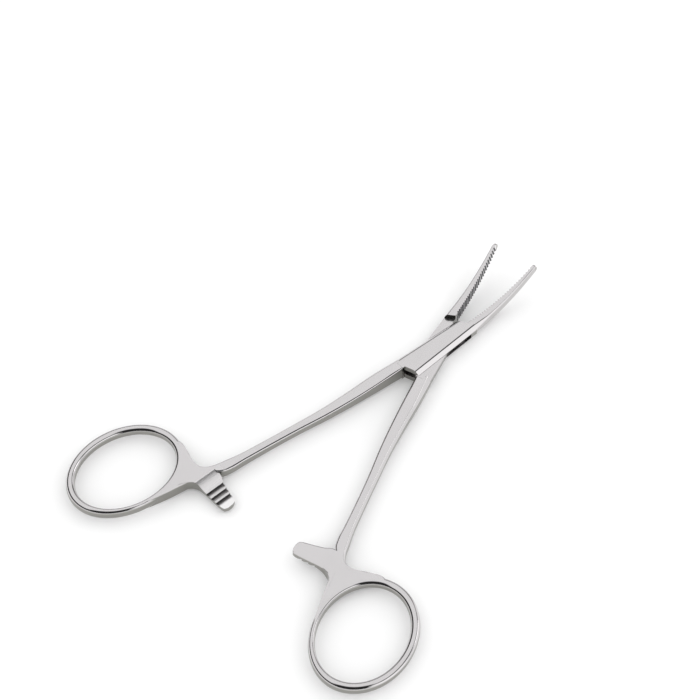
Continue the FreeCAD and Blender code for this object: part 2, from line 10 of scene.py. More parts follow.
import bmesh
import bpy
import numpy as np
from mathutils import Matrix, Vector


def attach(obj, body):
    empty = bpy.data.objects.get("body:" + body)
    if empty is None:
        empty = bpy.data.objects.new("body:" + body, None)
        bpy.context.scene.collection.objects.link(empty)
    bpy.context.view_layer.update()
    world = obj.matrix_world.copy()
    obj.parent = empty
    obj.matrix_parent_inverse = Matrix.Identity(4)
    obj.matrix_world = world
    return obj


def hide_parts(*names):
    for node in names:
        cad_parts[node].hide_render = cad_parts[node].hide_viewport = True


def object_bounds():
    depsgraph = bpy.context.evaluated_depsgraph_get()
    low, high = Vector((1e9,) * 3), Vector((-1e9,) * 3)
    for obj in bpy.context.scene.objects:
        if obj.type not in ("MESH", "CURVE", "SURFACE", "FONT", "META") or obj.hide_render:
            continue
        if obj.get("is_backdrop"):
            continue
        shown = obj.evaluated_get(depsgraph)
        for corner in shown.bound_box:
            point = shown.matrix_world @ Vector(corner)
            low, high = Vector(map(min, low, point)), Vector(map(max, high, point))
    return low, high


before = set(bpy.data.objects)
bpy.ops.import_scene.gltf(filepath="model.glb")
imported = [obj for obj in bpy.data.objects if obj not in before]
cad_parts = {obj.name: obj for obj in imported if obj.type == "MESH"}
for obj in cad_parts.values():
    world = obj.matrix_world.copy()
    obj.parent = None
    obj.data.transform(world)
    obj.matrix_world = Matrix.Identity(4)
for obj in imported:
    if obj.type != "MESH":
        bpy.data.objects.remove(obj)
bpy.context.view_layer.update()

# %% [markdown]
# The camera comes first, because every later choice is judged through it. The photograph looks down at
# the forceps from about 51 degrees above the table, through a long lens. The place that the lens points
# at, its heading and its distance are three plain facts, and Blender works out the rest.

# %% Camera
MM = 0.001
HEADING = math.radians(51.79)       # the picture's upward direction, turned from +Y towards +X
ELEVATION = math.radians(50.72)
DISTANCE = 419.97 * MM
AIM = Vector((-12.92, 16.03, 2.05)) * MM
LENS = 90.72                        # for a sensor 36 mm wide

look = Vector((math.sin(HEADING) * math.cos(ELEVATION),
               math.cos(HEADING) * math.cos(ELEVATION),
               -math.sin(ELEVATION)))
camera_data = bpy.data.cameras.new("camera")
camera_data.lens = LENS
camera_data.sensor_width = 36.0
camera_data.clip_start = 0.01
camera_data.clip_end = 20.0
camera = bpy.data.objects.new("camera", camera_data)
camera.location = AIM - look * DISTANCE
camera.rotation_mode = "QUATERNION"
camera.rotation_quaternion = look.to_track_quat("-Z", "Y")
bpy.context.scene.collection.objects.link(camera)
bpy.context.scene.camera = camera
print("camera at", [round(v, 4) for v in camera.location])

# %% [markdown]
# Each half is drawn in its own frame, in millimetres, as if the forceps were closed: x runs from the pin
# to the tip, the shank lies at negative y and the jaw at positive y, and z is measured from the middle of
# the lock. The two halves are mirror images, so the same numbers serve both. One function takes a point
# from there to the row frame, where the halves lie open.

# %% From a half's own frame to the row frame
REST_OPENING = math.radians(19.4)
LOCK_THICK = 4.1


def laid_open(points, side):
    """y times side, turned about Z by side times half of the opening, lifted by half the lock's height."""
    turn = side * REST_OPENING / 2
    x, y, z = points[..., 0], side * points[..., 1], points[..., 2]
    return np.stack([x * math.cos(turn) - y * math.sin(turn),
                     x * math.sin(turn) + y * math.cos(turn),
                     z + LOCK_THICK / 2], axis=-1) * MM


print("tip of the box half", laid_open(np.array([33.2, 0.0, 5.2]), -1))

# %% [markdown]
# A forging has no flat-sided blocks: its sides run in long sweeps, and every edge is broken. Both come
# from two small functions. One draws a smooth curve through a few measured places. The other takes the
# corners of a section and rounds each of them, for all sections of a part at once.

# %% Smooth curves and rounded sections
def curve(places, values, at):
    """Cubic pieces through the values, with the slope at each place that of its two neighbours."""
    places, values = np.asarray(places, float), np.asarray(values, float)
    slopes = np.gradient(values, places)
    piece = np.clip(np.searchsorted(places, at) - 1, 0, len(places) - 2)
    step = places[piece + 1] - places[piece]
    t = (at - places[piece]) / step
    return ((2 * t ** 3 - 3 * t ** 2 + 1) * values[piece] + (t ** 3 - 2 * t ** 2 + t) * step * slopes[piece]
            + (3 * t ** 2 - 2 * t ** 3) * values[piece + 1] + (t ** 3 - t ** 2) * step * slopes[piece + 1])


def rounded(corners, cut, steps=4):
    """Each corner of a closed outline gives way to a parabola that leaves its sides cut before the corner.

    corners is (sections, corners, 2), cut is one length or one for each corner.
    """
    before = np.roll(corners, 1, axis=1) - corners
    after = np.roll(corners, -1, axis=1) - corners
    long_before = np.linalg.norm(before, axis=2, keepdims=True)
    long_after = np.linalg.norm(after, axis=2, keepdims=True)
    cut = np.broadcast_to(np.asarray(cut, float), corners.shape[:2])[..., None]
    reach = np.minimum(cut, 0.46 * np.minimum(long_before, long_after))
    start = corners + before / np.maximum(long_before, 1e-9) * reach
    stop = corners + after / np.maximum(long_after, 1e-9) * reach
    t = np.linspace(0, 1, steps)[None, None, :, None]
    bend = ((1 - t) ** 2 * start[:, :, None] + 2 * t * (1 - t) * corners[:, :, None]
            + t ** 2 * stop[:, :, None])
    return bend.reshape(len(corners), -1, 2)


print("a unit square, rounded, has", rounded(np.array([[(0, 0), (1, 0), (1, 1), (0, 1)]], float), 0.2).shape)

# %% [markdown]
# A skin is a list of points and a list of faces. Three kinds are enough: a tube over rows of points with
# both ends closed, a loop that closes on itself, and a prism over an outline in plan, which serves as a
# cutter. Cutting and joining are left to Blender's manifold solver, as a smith would weld and grind.

# %% Skins, cutting and joining
def quads(rows, around, closed):
    """Four-sided faces between neighbouring rows of a numbered grid, whose rows close on themselves."""
    index = np.arange(rows * around).reshape(rows, around)
    first = index if closed else index[:-1]
    second = np.roll(index, -1, axis=0) if closed else index[1:]
    return np.stack([first, np.roll(first, -1, axis=1), np.roll(second, -1, axis=1), second],
                    axis=-1).reshape(-1, 4).tolist()


def tube(rows):
    """Rows joined in turn. Each end is closed like a ladder: point k of a row faces the k-th from its end."""
    count, around = rows.shape[:2]
    step = np.arange(around // 2 - 1)
    rungs = np.stack([step, step + 1, around - 2 - step, around - 1 - step], axis=-1)
    caps = np.concatenate([rungs[:, ::-1], rungs + (count - 1) * around]).tolist()
    return rows.reshape(-1, 3), quads(count, around, False) + caps


def loop(rows):
    """Rows joined in turn, and the last to the first."""
    return rows.reshape(-1, 3), quads(rows.shape[0], rows.shape[1], True)


def prism(outline, low, high):
    """An outline in plan, carried straight up from low to high."""
    plan = np.asarray(outline, float)
    rows = np.stack([np.column_stack([plan, np.full(len(plan), level)]) for level in (low, high)])
    caps = [list(range(len(plan)))[::-1], list(range(len(plan), 2 * len(plan)))]
    return rows.reshape(-1, 3), quads(2, len(plan), False) + caps


def solid(name, skin, side):
    """The skin as an object in the row frame, with its faces turned outwards."""
    points, faces = skin
    mesh = bpy.data.meshes.new(name)
    mesh.from_pydata(laid_open(points, side), [], faces)
    shape = bmesh.new()
    shape.from_mesh(mesh)
    bmesh.ops.recalc_face_normals(shape, faces=shape.faces)
    shape.to_mesh(mesh)
    shape.free()
    thing = bpy.data.objects.new(name, mesh)
    bpy.context.scene.collection.objects.link(thing)
    return thing


def worked(target, tool, operation):
    """The target after the tool was joined to it or cut out of it. The tool is used up."""
    change = target.modifiers.new("work", "BOOLEAN")
    change.operation = operation
    change.object = tool
    change.solver = "MANIFOLD"
    bpy.context.view_layer.update()
    result = bpy.data.meshes.new_from_object(target.evaluated_get(bpy.context.evaluated_depsgraph_get()))
    target.modifiers.clear()
    old = target.data
    target.data = result
    bpy.data.meshes.remove(old)
    used = tool.data
    bpy.data.objects.remove(tool)
    bpy.data.meshes.remove(used)
    return target


print("skins ready")

# %% [markdown]
# The finger ring is a forged band round an oval, and its own section is an oval too, a little fuller than an
# ellipse. The section's width is laid along the ring's outward normal, and its height along z. The band is
# slimmer on the side of the other ring, where it runs out of the web in a nearly straight line.

# %% Finger ring
RING_CENTRE = (-76.6, -21.3)
RING_LONG, RING_SHORT = 13.18, 10.55
RING_TILT = math.radians(2.5)
RING_BAND, RING_THICK = 2.05, 2.55
RING_FULL = 2.25                    # 2 would be an ellipse
SLIMMEST, SLIMMER, END_THICKER = math.radians(104), 0.62, 0.28


def oval(angle, out=0.0):
    """Points of the ring's oval at an angle, moved out along the oval's normal."""
    x, y = RING_LONG * np.cos(angle), RING_SHORT * np.sin(angle)
    normal = np.stack([x / RING_LONG ** 2, y / RING_SHORT ** 2], axis=-1)
    normal = normal / np.linalg.norm(normal, axis=-1, keepdims=True)
    x, y = x + out * normal[..., 0], y + out * normal[..., 1]
    return np.stack([RING_CENTRE[0] + x * math.cos(RING_TILT) - y * math.sin(RING_TILT),
                     RING_CENTRE[1] + x * math.sin(RING_TILT) + y * math.cos(RING_TILT)], axis=-1)


def finger_ring():
    """The share of the half-width and the share of the half-height, to the power RING_FULL, add up to 1."""
    angle = np.linspace(0, 2 * math.pi, 192, endpoint=False)[:, None]
    inside = -RING_BAND / 2
    outside = RING_BAND / 2 - SLIMMER * np.clip(np.cos(angle - SLIMMEST), 0, 1) ** 2
    high = (RING_THICK + END_THICKER * np.clip(-np.cos(angle), 0, 1) ** 2) / 2
    turn = np.linspace(0, 2 * math.pi, 48, endpoint=False)
    across = np.sign(np.cos(turn)) * np.abs(np.cos(turn)) ** (2 / RING_FULL)
    upward = np.sign(np.sin(turn)) * np.abs(np.sin(turn)) ** (2 / RING_FULL)
    plan = oval(angle, (outside + inside) / 2 + (outside - inside) / 2 * across)
    return loop(np.concatenate([plan, (high * upward)[..., None]], axis=2))


print("the band has", len(finger_ring()[1]), "faces")

# %% [markdown]
# Shank and neck are one sweep. Its two rails are the inner and the outer side, as the eye follows them from
# the lock, down the slim shank, and round into the ring. The section between the rails is flat above and
# below, with a wide broken edge on each side. Towards the ring the rows bend to follow the oval, so that
# the web meets the band along its middle and the two flats run together.

# %% Shank and neck
# inner side x, y; outer side x, y; thickness; bevel of the inner edge; width and height of the outer one;
# how far the row bends to follow the oval, from 0 to 1
TRUNK = np.array([
    (-10.2, -0.05, -10.2, -3.60, 4.10, 0.30, 1.10, 1.30, 0.0),
    (-13.5, -0.20, -13.5, -3.85, 3.86, 0.50, 0.98, 1.05, 0.0),
    (-17.0, -0.45, -17.0, -4.05, 3.50, 0.45, 0.80, 0.80, 0.0),
    (-24.0, -1.00, -24.0, -4.30, 2.95, 0.45, 0.70, 0.70, 0.0),
    (-32.0, -1.90, -32.0, -4.75, 2.60, 0.45, 0.70, 0.70, 0.0),
    (-41.0, -3.30, -41.0, -5.75, 2.40, 0.45, 0.65, 0.65, 0.0),
    (-50.0, -4.45, -50.0, -6.85, 2.45, 0.45, 0.62, 0.62, 0.0),
    (-55.5, -5.05, -55.5, -7.62, 2.60, 0.45, 0.60, 0.60, 0.0),
    (-58.6, -5.30, -58.6, -8.30, 2.72, 0.50, 0.55, 0.60, 0.0),
    (-61.0, -6.00, -61.3, -8.90, 2.78, 0.45, 0.50, 0.60, 0.0),
    (-63.0, -7.50, -63.0, -9.80, 2.79, 0.40, 0.50, 0.60, 0.0),
    (-65.2, -8.20, -63.9, -11.20, 2.78, 0.40, 0.50, 0.60, 0.08),
    (-67.9, -8.60, -64.0, -13.00, 2.74, 0.50, 0.50, 0.60, 0.20),
    (-70.9, -9.15, -63.6, -15.30, 2.68, 0.62, 0.55, 0.60, 0.40),
    (-74.6, -9.95, -63.0, -17.50, 2.62, 0.75, 0.60, 0.60, 0.65),
    (-78.6, -10.95, -62.7, -19.20, 2.57, 0.75, 0.60, 0.60, 0.85),
    (-83.2, -12.55, -63.5, -20.35, 2.53, 0.50, 0.50, 0.50, 1.0),
])
OVAL_FROM, OVAL_TO = math.radians(118), math.radians(2)
INNER_HEIGHT = 0.85                 # height of the inner edge's bevel for each part of its width
TRUNK_ROUND = 0.34


def trunk():
    middle = (TRUNK[:, 0:2] + TRUNK[:, 2:4]) / 2
    along = np.concatenate([[0], np.cumsum(np.linalg.norm(np.diff(middle, axis=0), axis=1))])
    along = along / along[-1]
    at = np.linspace(0, 1, 200)
    inner_x, inner_y, outer_x, outer_y, thick, bevel_in, bevel_out, bevel_high, pull = (
        curve(along, TRUNK[:, column], at) for column in range(9))
    width = np.hypot(outer_x - inner_x, outer_y - inner_y)
    top, none = thick / 2, np.zeros_like(thick)
    across = [bevel_in + part * (width - bevel_out - bevel_in) for part in np.linspace(0, 1, 7)]
    upper = [(none, top - INNER_HEIGHT * bevel_in)] + [(u, top) for u in across] + [(width, top - bevel_high)]
    lower = [(u, -z) for u, z in upper[::-1]]
    corners = np.stack([np.stack(pair, axis=-1) for pair in upper + lower], axis=1)
    section = rounded(corners, TRUNK_ROUND, 5)
    share = section[..., 0] / width[:, None]
    plan = np.stack([inner_x[:, None] + share * (outer_x - inner_x)[:, None],
                     inner_y[:, None] + share * (outer_y - inner_y)[:, None]], axis=-1)
    ends = oval(np.array([OVAL_FROM, OVAL_TO]))
    chord = ends[0] + share[..., None] * (ends[1] - ends[0])
    plan = plan + pull[:, None, None] * (oval(OVAL_FROM + share * (OVAL_TO - OVAL_FROM)) - chord)
    return tube(np.concatenate([plan, section[..., 1:]], axis=2))


print("shank and neck have", len(trunk()[1]), "faces")

# %% [markdown]
# The ratchet arm is half as thick as the neck, so that the two arms can pass one over the other, and its
# three teeth face the other arm. Its edge is a sweep between a front and a back rail. The relief is ground
# away down a hollow ramp that starts at the neck's flat, and the teeth are then cut with three wedges.

# %% Ratchet arm
# front edge x, y; back edge x, y
ARM = np.array([
    (-62.3, -8.60, -70.6, -9.75),
    (-61.6, -7.90, -69.2, -9.02),
    (-61.55, -6.90, -68.1, -8.25),
    (-61.6, -5.60, -67.3, -6.95),
    (-62.2, -4.30, -67.05, -5.20),
    (-62.6, -2.70, -67.0, -3.30),
    (-62.95, -0.90, -66.95, -1.20),
    (-63.15, 0.20, -66.88, 0.20),
    (-63.35, 0.98, -66.75, 1.05),
    (-63.75, 1.48, -66.4, 1.55),
    (-64.40, 1.70, -65.8, 1.78),
])
ARM_GAP = 0.16
TOOTH_FIRST, TOOTH_PITCH, TOOTH_DEPTH, TOOTH_WIDTH = 4.3, 1.65, 0.5, 1.07
NECK_THICK = 2.77
RAMP_START, RAMP_END, RAMP_HOLLOW = 7.5, 4.6, 1.5
BAR_BACK, BAR_FRONT = -69.5, -61.0  # the cutters' two ends
NOTCH_END = -61.9                   # where the ramp stops in the shank's side
PAST_TIP, PAST_FACE = 4.0, -3.0     # how far the relief is cleared
ARM_ROUNDS = (0.12, 0.4, 0.4, 0.12)


def bar(outline, low, side, end=BAR_FRONT):
    """A cutter along x below the toothed face: an outline of y and z, turned over for the lower arm."""
    plan = np.asarray(outline, float) * (1, -1 if low else 1)
    return solid("cutter", tube(np.stack([np.column_stack([np.full(len(plan), x), plan])
                                          for x in (BAR_BACK, end)])), side)


def relief():
    """A hollow ramp from the neck's flat down to the toothed face, and all that lies beyond it."""
    face, run = ARM_GAP / 2, np.linspace(0, 1, 10)
    ramp = np.column_stack([-RAMP_START + run * (RAMP_START - RAMP_END),
                            face - (NECK_THICK / 2 + face) * (1 - run) ** RAMP_HOLLOW])
    back = np.column_stack([np.linspace(PAST_TIP, -RAMP_START, 10), np.full(10, PAST_FACE)])
    back[0, 1] = face
    return np.concatenate([ramp, back])


def ratchet_arm(name, side, low):
    middle = (ARM[:, 0:2] + ARM[:, 2:4]) / 2
    along = np.concatenate([[0], np.cumsum(np.linalg.norm(np.diff(middle, axis=0), axis=1))])
    at = np.linspace(0, along[-1], 60)
    front_x, front_y, back_x, back_y = (curve(along, ARM[:, column], at) for column in range(4))
    width = np.hypot(back_x - front_x, back_y - front_y)
    near, far = np.full_like(width, -NECK_THICK / 2), np.full_like(width, NECK_THICK / 2)
    none = np.zeros_like(width)
    corners = np.stack([np.stack(pair, axis=-1) for pair in
                        ((none, near), (none, far), (width, far), (width, near))], axis=1)
    section = rounded(corners, ARM_ROUNDS, 5)
    share = section[..., 0] / width[:, None]
    plan = np.stack([front_x[:, None] + share * (back_x - front_x)[:, None],
                     front_y[:, None] + share * (back_y - front_y)[:, None]], axis=-1)
    rows = np.concatenate([plan, section[..., 1:] * (-1 if low else 1)], axis=2)
    arm = solid(name, tube(rows), side)
    arm = worked(arm, bar(relief(), low, side), "DIFFERENCE")
    face = ARM_GAP / 2
    for number in range(3):
        root = -TOOTH_FIRST + number * TOOTH_PITCH
        wedge = [(root, face - TOOTH_DEPTH), (root, face + TOOTH_DEPTH),
                 (root + TOOTH_WIDTH, face), (root + TOOTH_WIDTH, face - TOOTH_DEPTH)]
        arm = worked(arm, bar(wedge, low, side), "DIFFERENCE")
    return arm


print("the arm's sweep passes", len(ARM), "measured places")

# %% [markdown]
# The jaw tapers, thins and curves up to its tip, and its sections stand square to that curve. Its biting
# face is cut across by fine grooves, from the root to the tip, so the sweep has a row at each groove's two
# edges and one at its root, where the face steps back. The outer side is narrowly bevelled above, where
# the flat is wide, and falls away in a broad bevel below.

# %% Jaw
# x, width, thickness
JAW = np.array([
    (9.0, 2.66, 3.72), (15.0, 2.20, 3.50), (21.5, 1.72, 3.30), (27.5, 1.32, 3.12), (33.0, 0.98, 3.00),
])
JAW_GAP = 0.03
BEVEL_FROM, BEVEL_TO = 10.9, 16.5   # where the wide bevel of the lock narrows into that of the jaw
JAW_REACH, JAW_RISE, JAW_RISE_START = 33.0, 5.2, 13.8
TIP_ROUND, TIP_LEFT, TIP_WIDTH_LEFT = 1.1, 0.35, 0.25
# shares of the width and of the thickness: below, above, and what the wide bevel adds above
FLAT_BELOW, KNEE_BELOW, KNEE_LOW, EDGE_HIGH = 0.52, 0.86, 0.26, 0.08
FLAT_ABOVE, BROW_OUT, BROW_HIGH = 0.75, 0.89, 0.38
WIDER_FLAT, WIDER_OUT, WIDER_HIGH = 0.17, 0.08, 0.17
JAW_ROUNDS = (0.05, 0.22, 0.16, 0.12, 0.12, 0.16, 0.34, 0.05)
GROOVE_FIRST, GROOVE_PITCH, GROOVE_DEPTH, GROOVE_HALF = 11.6, 0.8, 0.25, 0.32


def jaw(blunt):
    """With blunt at 1, the upper bevel starts as wide as the lock's own; at 0 it is narrow from the root."""
    grooves = np.arange(GROOVE_FIRST, JAW_REACH - TIP_ROUND, GROOVE_PITCH)
    cuts = (grooves[:, None] + np.array([-GROOVE_HALF, 0, GROOVE_HALF])[None]).ravel()
    root = np.linspace(JAW[0, 0], GROOVE_FIRST - GROOVE_HALF, 6)[:-1]
    tip = JAW_REACH - TIP_ROUND + TIP_ROUND * np.sin(np.linspace(0, math.pi / 2, 9)[1:])
    tip = tip[tip > cuts[-1]]
    x = np.concatenate([root, cuts, tip])
    depth = np.concatenate([np.zeros(len(root)), np.tile([0, GROOVE_DEPTH, 0], len(grooves)),
                            np.zeros(len(tip))])
    width, thick = curve(JAW[:, 0], JAW[:, 1], x), curve(JAW[:, 0], JAW[:, 2], x)
    run = np.clip((x - (JAW_REACH - TIP_ROUND)) / TIP_ROUND, 0, 1)
    shrink = TIP_LEFT + (1 - TIP_LEFT) * np.sqrt(1 - run ** 2)
    width, thick = width * (TIP_WIDTH_LEFT + (1 - TIP_WIDTH_LEFT) * shrink), thick * shrink
    run = np.clip(x - JAW_RISE_START, 0, None) / (JAW_REACH - JAW_RISE_START)
    middle = JAW_RISE * run ** 2
    lean = np.arctan(2 * JAW_RISE * run / (JAW_REACH - JAW_RISE_START))
    thick = thick * np.cos(lean)
    face, flat, knee, edge = JAW_GAP + depth, FLAT_BELOW * width, KNEE_BELOW * width, EDGE_HIGH * thick
    high, low = thick / 2, KNEE_LOW * thick
    blend = blunt * (1 - np.clip((x - BEVEL_FROM) / (BEVEL_TO - BEVEL_FROM), 0, 1))
    land = (FLAT_ABOVE - WIDER_FLAT * blend) * width
    brow, shoulder = (BROW_OUT + WIDER_OUT * blend) * width, (BROW_HIGH - WIDER_HIGH * blend) * thick
    corners = np.stack([np.stack(pair, axis=-1) for pair in
                        ((face, -high), (flat, -high), (knee, -low), (width, -edge), (width, edge),
                         (brow, shoulder), (land, high), (face, high))], axis=1)
    section = rounded(corners, JAW_ROUNDS, 6)
    lift = section[..., 1]
    return tube(np.stack([x[:, None] - lift * np.sin(lean)[:, None], section[..., 0],
                          middle[:, None] + lift * np.cos(lean)[:, None]], axis=-1))


print("the jaw has", len(jaw(1)[1]), "faces")

# %% [markdown]
# The box lock is a tapered block, flat above and below, with wide bevels that end at the slot. The box half
# keeps the block and loses the slot and the ends of its plates. The cross half keeps only the thin tongue
# between its two shoulders, and the tongue's free corners are turned to an arc round the pin, so that they
# swing inside the slot.

# %% Lock
LOCK_BACK, LOCK_FRONT = 11.0, 10.9
HALF_BACK, HALF_FRONT = 3.6, 2.6
LOCK_BEVEL, SLOT_HEIGHT, SLIDE_GAP = 1.1, 1.5, 0.05
LOCK_ROUNDS = (0.22, 0.55, 0.55, 0.22) * 2
LEVER_GAP, TONGUE_REACH, SLOT_END, TONGUE_INSET = 0.05, 8.6, 9.0, 0.12
PIN_RADIUS, PIN_SLACK = 1.3, 0.03
BEYOND = 2.0
OUTER, BEHIND, AHEAD = HALF_BACK + BEYOND, -LOCK_BACK - BEYOND, LOCK_FRONT + BEYOND
PLATE_BACK_MID, PLATE_BACK_SIDE, PLATE_FRONT_MID, PLATE_FRONT_SIDE, PLATE_STEP = 10.3, 9.1, 9.6, 8.6, 1.2
SHOULDER_GAP, SHOULDER_SLACK = 0.15, 0.6


def lock_block(front, inset):
    x = np.linspace(-LOCK_BACK, front, 24)
    half = HALF_BACK + (HALF_FRONT - HALF_BACK) * (x + LOCK_BACK) / (LOCK_BACK + LOCK_FRONT) - inset
    land, top = np.full_like(x, SLOT_HEIGHT / 2), np.full_like(x, LOCK_THICK / 2)
    flat = half - LOCK_BEVEL
    corners = np.stack([np.stack(pair, axis=-1) for pair in
                        ((-half, land), (-flat, top), (flat, top), (half, land),
                         (half, -land), (flat, -top), (-flat, -top), (-half, -land))], axis=1)
    section = rounded(corners, LOCK_ROUNDS, 11)
    along = np.broadcast_to(x[:, None, None], section.shape[:2] + (1,))
    return tube(np.concatenate([along, section], axis=2))


def round_bar(radius):
    angle = np.linspace(0, 2 * math.pi, 96, endpoint=False)
    return prism(np.stack([radius * np.cos(angle), radius * np.sin(angle)], axis=-1), -LOCK_THICK, LOCK_THICK)


def corner_cut(end, near):
    """Outside of the tongue's circle, on the side away from the half's own shank or jaw."""
    far = -end * OUTER
    near = end * near
    y = np.linspace(far, near, 40)
    x = end * np.sqrt(np.clip(TONGUE_REACH ** 2 - y ** 2, 0, None))
    box = np.array([(end * AHEAD, near), (end * AHEAD, far)])
    return prism(np.concatenate([np.stack([x, y], axis=-1), box]), -LOCK_THICK, LOCK_THICK)


print("lock block has", len(lock_block(LOCK_FRONT, 0)[1]), "faces")

# %% [markdown]
# Now the two halves are put together in the order of the real work: the forged mass first, then the cuts.

# %% Box half
def forged(name, side, low, block):
    whole = worked(solid(name, block, side), solid("ring", finger_ring(), side), "UNION")
    shank = worked(solid("shank", trunk(), side), bar(relief(), low, side, NOTCH_END), "DIFFERENCE")
    whole = worked(whole, shank, "UNION")
    return worked(whole, ratchet_arm("arm", side, low), "UNION")


side = -1
box_half = forged("box_half_forging", side, True, lock_block(LOCK_FRONT, 0))
slope = (PLATE_BACK_MID - PLATE_BACK_SIDE) / HALF_BACK
back_cut = [(BEHIND, -LEVER_GAP), (-PLATE_BACK_MID, -LEVER_GAP),
            (-PLATE_BACK_SIDE + slope * BEYOND, OUTER), (BEHIND, OUTER)]
slope = (PLATE_FRONT_MID - PLATE_FRONT_SIDE) / HALF_FRONT
front_cut = [(PLATE_FRONT_SIDE - slope * BEYOND, -HALF_FRONT - BEYOND), (PLATE_FRONT_MID, 0),
             (LOCK_FRONT, PLATE_STEP), (AHEAD, PLATE_STEP), (AHEAD, -HALF_FRONT - BEYOND)]
slot = [(-SLOT_END, -OUTER), (-SLOT_END, -LEVER_GAP), (BEHIND, -LEVER_GAP), (BEHIND, OUTER),
        (SLOT_END, OUTER), (SLOT_END, JAW_GAP), (AHEAD, JAW_GAP), (AHEAD, -OUTER)]
for outline in (back_cut, front_cut):
    box_half = worked(box_half, solid("cut", prism(outline, -LOCK_THICK, LOCK_THICK), side), "DIFFERENCE")
box_half = worked(box_half, solid("jaw", jaw(1), side), "UNION")
box_half = worked(box_half, solid("slot", prism(slot, -SLOT_HEIGHT / 2, SLOT_HEIGHT / 2), side), "DIFFERENCE")
box_half = worked(box_half, solid("hole", round_bar(PIN_RADIUS), side), "DIFFERENCE")
print("box half:", len(box_half.data.polygons), "faces")

# %% Cross half
side = 1
cross_half = forged("cross_half_forging", side, False, lock_block(SLOT_END, TONGUE_INSET))
cross_half = worked(cross_half, solid("jaw", jaw(0), side), "UNION")
back_side, back_mid = PLATE_BACK_SIDE + SHOULDER_GAP, PLATE_BACK_MID + SHOULDER_SLACK
front_side, front_mid = PLATE_FRONT_SIDE + SHOULDER_SLACK, PLATE_FRONT_MID + SHOULDER_SLACK
waist = [(-back_side + (back_mid - back_side) / HALF_BACK * BEYOND, -OUTER),
         (-back_mid, 0), (-back_mid, OUTER),
         (front_side - (front_mid - front_side) / HALF_FRONT * BEYOND, HALF_FRONT + BEYOND),
         (front_mid, 0), (front_mid, -OUTER)]
level = SLOT_HEIGHT / 2 - SLIDE_GAP
for low, high in ((level, LOCK_THICK), (-LOCK_THICK, -level)):
    cross_half = worked(cross_half, solid("waist", prism(waist, low, high), side), "DIFFERENCE")
for end, near in ((1, JAW_GAP), (-1, LEVER_GAP)):
    cross_half = worked(cross_half, solid("corner", corner_cut(end, near), side), "DIFFERENCE")
cross_half = worked(cross_half, solid("hole", round_bar(PIN_RADIUS + PIN_SLACK), side), "DIFFERENCE")
print("cross half:", len(cross_half.data.polygons), "faces")

# %% [markdown]
# Surgical steel is one material with a few finishes. Its flats are ground on a belt and stay satin, with
# fine lines along the instrument, and its edges and rounded places are buffed. Which is which follows from
# how steeply the surface stands, so masks from the surface normal give the roughness. The same masks paint
# shade into the colour: steep sides are painted darker, and the jaw's sides are painted lighter than the
# others. Two more masks find the biting face and the toothed face by where they are. Painted shade darkens
# the groove flanks that face back and the steep flanks between the teeth, and the arm's tip is painted near
# white as a highlight. A small class lets the shader maths be written as ordinary Python.

# %% Shader maths in Python
class Net:
    """Builds nodes in one material."""

    def __init__(self, material):
        material.use_nodes = True
        self.tree = material.node_tree
        self.tree.nodes.clear()

    def node(self, kind, settings=None, **sockets):
        """Adds a node: its settings first, then the values or links of its sockets, by name or number."""
        made = self.tree.nodes.new(kind)
        for key, setting in (settings or {}).items():
            setattr(made, key, setting)
        for key, given in sockets.items():
            numbered = key[0] == "i" and key[1:].isdigit()
            socket = made.inputs[int(key[1:]) if numbered else key.replace("_", " ")]
            if isinstance(given, Value):
                self.tree.links.new(given.socket, socket)
            else:
                socket.default_value = given
        return made

    def out(self, made, name=0):
        return Value(self, made.outputs[name])


class Value:
    """A socket that can be calculated with."""

    def __init__(self, net, socket):
        self.net, self.socket = net, socket

    def _math(self, operation, *others):
        made = self.net.tree.nodes.new("ShaderNodeMath")
        made.operation = operation
        for slot, given in zip(made.inputs, others):
            if isinstance(given, Value):
                self.net.tree.links.new(given.socket, slot)
            else:
                slot.default_value = given
        return Value(self.net, made.outputs[0])

    def __add__(self, other):
        return self._math("ADD", self, other)

    def __sub__(self, other):
        return self._math("SUBTRACT", self, other)

    def __rsub__(self, other):
        return self._math("SUBTRACT", other, self)

    def __mul__(self, other):
        return self._math("MULTIPLY", self, other)

    def clamp(self, low, high):
        made = self._math("MAXIMUM", self, low)
        return made._math("MINIMUM", made, high)

    def size(self):
        return self._math("ABSOLUTE", self)

    __radd__ = __add__
    __rmul__ = __mul__


def rising(value, start, slope):
    """0 up to the start, then a straight climb, then 1."""
    return ((value - start) * slope).clamp(0.0, 1.0)


def falling(value, end, slope):
    """1, then a straight fall that reaches 0 at the end."""
    return ((end - value) * slope).clamp(0.0, 1.0)


print("shader maths ready")

# %% Steel
STEEL_FLAT = (0.66, 0.642, 0.648, 1.0)
# Painted shade: the colour of the steep sides, darker than the flats.
STEEL_SIDE_PAINTED_SHADE = (0.31, 0.305, 0.285, 1.0)
STEEL_GROUND = (0.80, 0.785, 0.79, 1.0)
GROOVE_SHADE = (0.05, 0.05, 0.055, 1.0)
JAW_FROM, JAW_TO = 0.0112, 0.0322
ARM_AT, ARM_LENGTH = (-0.0648, -0.0030), (0.0042, 0.0046)
TEETH_FROM, ARM_TIP = -0.0046, 0.0002
GRAIN_ALONG, GRAIN_ACROSS = 300.0, 4200.0
WEAR_SCALE, SPECK_SCALE = 140.0, 2600.0
ROUGH_BUFFED, ROUGH_SATIN = 0.06, 0.16
BUMP_STRENGTH, BUMP_HEIGHT = 0.10, 0.00004
# Painted highlight: the near-white colour of the ratchet arm's tip.
STEEL_TIP_PAINTED_HIGHLIGHT = (0.95, 0.94, 0.945, 1.0)


def between(value, low, high, soft):
    """1 where the value lies between two bounds, falling to 0 over a soft margin outside of them."""
    rise = ((value - low) * (1.0 / soft) + 1.0).clamp(0.0, 1.0)
    fall = ((high - value) * (1.0 / soft) + 1.0).clamp(0.0, 1.0)
    return rise * fall


